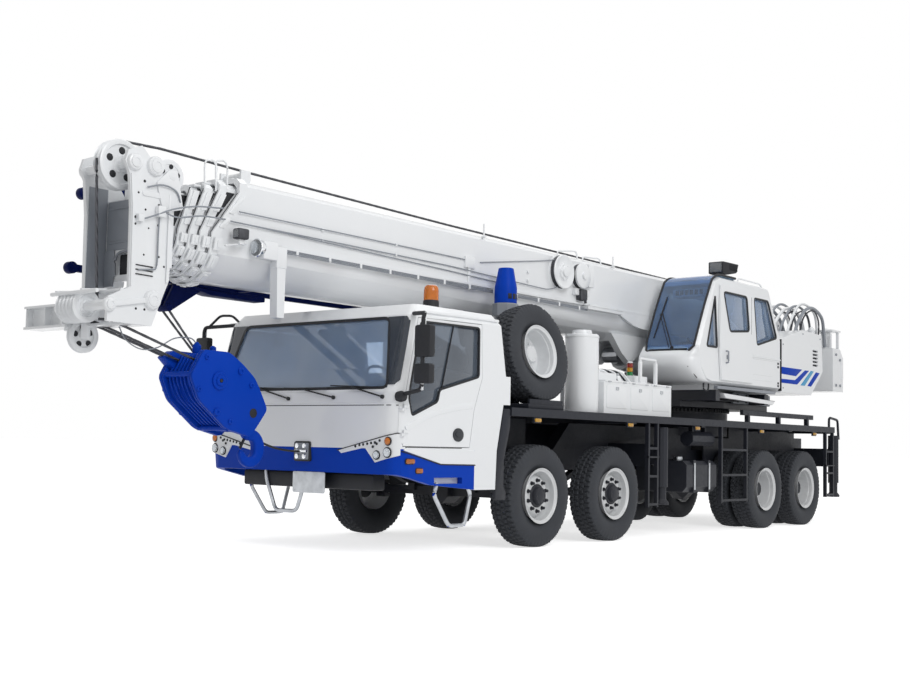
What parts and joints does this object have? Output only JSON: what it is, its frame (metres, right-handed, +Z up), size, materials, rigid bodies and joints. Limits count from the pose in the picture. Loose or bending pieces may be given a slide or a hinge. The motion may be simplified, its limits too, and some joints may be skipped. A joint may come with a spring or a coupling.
{
  "type": "truck crane",
  "caption": "Truck crane with steered front axles, a driver's cab, a slewing superstructure with its own cab, a nested telescopic boom, a hook block and outriggers.",
  "frame": {"origin": "on the ground under the middle of the machine's overall length and width", "axes": "+X forward, +Y to the vehicle's left, +Z up"},
  "size_m": [13.74, 3.44, 3.8],
  "materials": {
    "white_paint": "gloss",
    "blue_paint": "gloss",
    "frame_black": "satin",
    "tyre": "matte",
    "steel": "satin",
    "glass": "gloss",
    "interior": "matte"
  },
  "bodies": {
    "carrier": {"chassis_frame": "frame_black", "deck": "frame_black", "cab_shell": "white_paint", "windscreen": "glass", "cab_bumper": "blue_paint", "cab_interior": "interior", "engine_block": "frame_black", "fuel_tank": "frame_black", "boom_rest": "frame_black", "exhaust_stack": "blue_paint", "hydraulic_tank": "white_paint", "deck_toolbox": "white_paint", "spare_wheel": "tyre", "axle_1_steered": "frame_black", "axle_2_steered": "frame_black", "axle_3_driven": "frame_black", "axle_4_driven": "frame_black"},
    "cab_door_left": {"cab_door_left": "white_paint"},
    "cab_door_right": {"cab_door_right": "white_paint"},
    "superstructure": {"turntable": "white_paint", "counterweight": "white_paint", "main_winch": "white_paint", "rear_housing_left": "white_paint", "rear_housing_right": "white_paint", "operator_cab": "white_paint", "operator_windscreen": "glass", "operator_seat": "interior"},
    "operator_door": {"operator_cab_door": "white_paint"},
    "lift_barrel": {"lift_cylinder_barrel": "white_paint"},
    "lift_rod": {"lift_cylinder_rod": "steel"},
    "boom_base": {"boom_base_section": "white_paint", "stowed_jib": "blue_paint"},
    "boom_2": {"boom_section_2": "white_paint"},
    "boom_3": {"boom_section_3": "white_paint"},
    "boom_4": {"boom_section_4": "white_paint"},
    "boom_tip": {"boom_tip_section": "white_paint", "head_sheaves_top": "steel", "head_sheaves_bottom": "steel", "hook_block": "blue_paint"},
    "knuckle_1_left": {"knuckle_1_left": "frame_black"},
    "wheel_1_left": {"wheel_1_left": "tyre"},
    "knuckle_1_right": {"knuckle_1_right": "frame_black"},
    "wheel_1_right": {"wheel_1_right": "tyre"},
    "knuckle_2_left": {"knuckle_2_left": "frame_black"},
    "wheel_2_left": {"wheel_2_left": "tyre"},
    "knuckle_2_right": {"knuckle_2_right": "frame_black"},
    "wheel_2_right": {"wheel_2_right": "tyre"},
    "wheel_3_left": {"wheel_3_left": "tyre"},
    "wheel_3_right": {"wheel_3_right": "tyre"},
    "wheel_4_left": {"wheel_4_left": "tyre"},
    "wheel_4_right": {"wheel_4_right": "tyre"},
    "outrigger_beam_front_left": {"outrigger_beam_front_left": "frame_black"},
    "outrigger_jack_front_left": {"outrigger_jack_front_left": "steel"},
    "outrigger_beam_front_right": {"outrigger_beam_front_right": "frame_black"},
    "outrigger_jack_front_right": {"outrigger_jack_front_right": "steel"},
    "outrigger_beam_rear_left": {"outrigger_beam_rear_left": "frame_black"},
    "outrigger_jack_rear_left": {"outrigger_jack_rear_left": "steel"},
    "outrigger_beam_rear_right": {"outrigger_beam_rear_right": "frame_black"},
    "outrigger_jack_rear_right": {"outrigger_jack_rear_right": "steel"}
  },
  "joints": [
    {"name": "steer_1_left", "type": "hinge", "parent": "carrier", "child": "knuckle_1_left", "pos_m": [1.79, 0.96, 0.561], "axis": [0, 0, 1], "range_deg": [-32, 32]},
    {"name": "spin_1_left", "type": "hinge", "parent": "knuckle_1_left", "child": "wheel_1_left", "pos_m": [1.79, 1.2235, 0.561], "axis": [0, 1, 0], "continuous": true},
    {"name": "steer_1_right", "type": "hinge", "parent": "carrier", "child": "knuckle_1_right", "pos_m": [1.79, -0.96, 0.561], "axis": [0, 0, 1], "range_deg": [-32.5, 32.5]},
    {"name": "spin_1_right", "type": "hinge", "parent": "knuckle_1_right", "child": "wheel_1_right", "pos_m": [1.79, -1.2235, 0.561], "axis": [0, 1, 0], "continuous": true},
    {"name": "steer_2_left", "type": "hinge", "parent": "carrier", "child": "knuckle_2_left", "pos_m": [0.28, 0.96, 0.561], "axis": [0, 0, 1], "range_deg": [-24.82, 24.82]},
    {"name": "spin_2_left", "type": "hinge", "parent": "knuckle_2_left", "child": "wheel_2_left", "pos_m": [0.28, 1.2235, 0.561], "axis": [0, 1, 0], "continuous": true},
    {"name": "steer_2_right", "type": "hinge", "parent": "carrier", "child": "knuckle_2_right", "pos_m": [0.28, -0.96, 0.561], "axis": [0, 0, 1], "range_deg": [-24.82, 24.82]},
    {"name": "spin_2_right", "type": "hinge", "parent": "knuckle_2_right", "child": "wheel_2_right", "pos_m": [0.28, -1.2235, 0.561], "axis": [0, 1, 0], "continuous": true},
    {"name": "spin_3_left", "type": "hinge", "parent": "carrier", "child": "wheel_3_left", "pos_m": [-3.76, 1.2235, 0.561], "axis": [0, 1, 0], "continuous": true},
    {"name": "spin_3_right", "type": "hinge", "parent": "carrier", "child": "wheel_3_right", "pos_m": [-3.76, -1.2235, 0.561], "axis": [0, 1, 0], "continuous": true},
    {"name": "spin_4_left", "type": "hinge", "parent": "carrier", "child": "wheel_4_left", "pos_m": [-5.11, 1.2235, 0.561], "axis": [0, 1, 0], "continuous": true},
    {"name": "spin_4_right", "type": "hinge", "parent": "carrier", "child": "wheel_4_right", "pos_m": [-5.11, -1.2235, 0.561], "axis": [0, 1, 0], "continuous": true},
    {"name": "door_left", "type": "hinge", "parent": "carrier", "child": "cab_door_left", "pos_m": [4.08, 1.392, 1.3], "axis": [0, 0, -1], "range_deg": [0, 65]},
    {"name": "door_right", "type": "hinge", "parent": "carrier", "child": "cab_door_right", "pos_m": [4.08, -1.392, 1.3], "axis": [0, 0, 1], "range_deg": [0, 65]},
    {"name": "extend_front_left", "type": "slide", "parent": "carrier", "child": "outrigger_beam_front_left", "axis": [0, 1, 0], "range_m": [0, 1.9]},
    {"name": "jack_front_left", "type": "slide", "parent": "outrigger_beam_front_left", "child": "outrigger_jack_front_left", "axis": [0, 0, -1], "range_m": [0, 0.55]},
    {"name": "extend_front_right", "type": "slide", "parent": "carrier", "child": "outrigger_beam_front_right", "axis": [0, -1, 0], "range_m": [0, 1.9]},
    {"name": "jack_front_right", "type": "slide", "parent": "outrigger_beam_front_right", "child": "outrigger_jack_front_right", "axis": [0, 0, -1], "range_m": [0, 0.55]},
    {"name": "extend_rear_left", "type": "slide", "parent": "carrier", "child": "outrigger_beam_rear_left", "axis": [0, 1, 0], "range_m": [0, 1.9]},
    {"name": "jack_rear_left", "type": "slide", "parent": "outrigger_beam_rear_left", "child": "outrigger_jack_rear_left", "axis": [0, 0, -1], "range_m": [0, 0.55]},
    {"name": "extend_rear_right", "type": "slide", "parent": "carrier", "child": "outrigger_beam_rear_right", "axis": [0, -1, 0], "range_m": [0, 1.9]},
    {"name": "jack_rear_right", "type": "slide", "parent": "outrigger_beam_rear_right", "child": "outrigger_jack_rear_right", "axis": [0, 0, -1], "range_m": [0, 0.55]},
    {"name": "slew", "type": "hinge", "parent": "carrier", "child": "superstructure", "pos_m": [-3.36, 0, 1.63], "axis": [0, 0, 1], "continuous": true},
    {"name": "operator_door_slide", "type": "slide", "parent": "superstructure", "child": "operator_door", "axis": [-1, 0, 0], "range_m": [0, 0.85]},
    {"name": "boom_lift", "type": "hinge", "parent": "superstructure", "child": "boom_base", "pos_m": [-5.06, 0, 3], "axis": [0, -1, 0], "range_deg": [0, 78]},
    {"name": "lift_barrel_swing", "type": "hinge", "parent": "superstructure", "child": "lift_barrel", "pos_m": [-4.11, 0, 2.1], "axis": [0, -1, 0], "range_deg": [-0.5, 79]},
    {"name": "lift_rod_slide", "type": "slide", "parent": "lift_barrel", "child": "lift_rod", "axis": [0.9916, 0, 0.1293], "range_m": [-0.005, 1.66]},
    {"name": "telescope_1", "type": "slide", "parent": "boom_base", "child": "boom_2", "axis": [1, 0, 0], "range_m": [0, 8]},
    {"name": "telescope_2", "type": "slide", "parent": "boom_2", "child": "boom_3", "axis": [1, 0, 0], "range_m": [-0.005, 8.005]},
    {"name": "telescope_3", "type": "slide", "parent": "boom_3", "child": "boom_4", "axis": [1, 0, 0], "range_m": [-0.005, 8.005]},
    {"name": "telescope_4", "type": "slide", "parent": "boom_4", "child": "boom_tip", "axis": [1, 0, 0], "range_m": [-0.005, 8.005]}
  ],
  "couplings": [
    {"joint": "steer_1_right", "follows": "steer_1_left", "ratio": 1},
    {"joint": "steer_2_left", "follows": "steer_1_left", "ratio": 0.76},
    {"joint": "steer_2_right", "follows": "steer_1_left", "ratio": 0.76},
    {"joint": "lift_barrel_swing", "follows": "boom_lift", "ratio": 1.0006},
    {"joint": "lift_rod_slide", "follows": "boom_lift", "m_per_rad": 1.2099},
    {"joint": "telescope_2", "follows": "telescope_1", "ratio": 1},
    {"joint": "telescope_3", "follows": "telescope_1", "ratio": 1},
    {"joint": "telescope_4", "follows": "telescope_1", "ratio": 1}
  ]
}
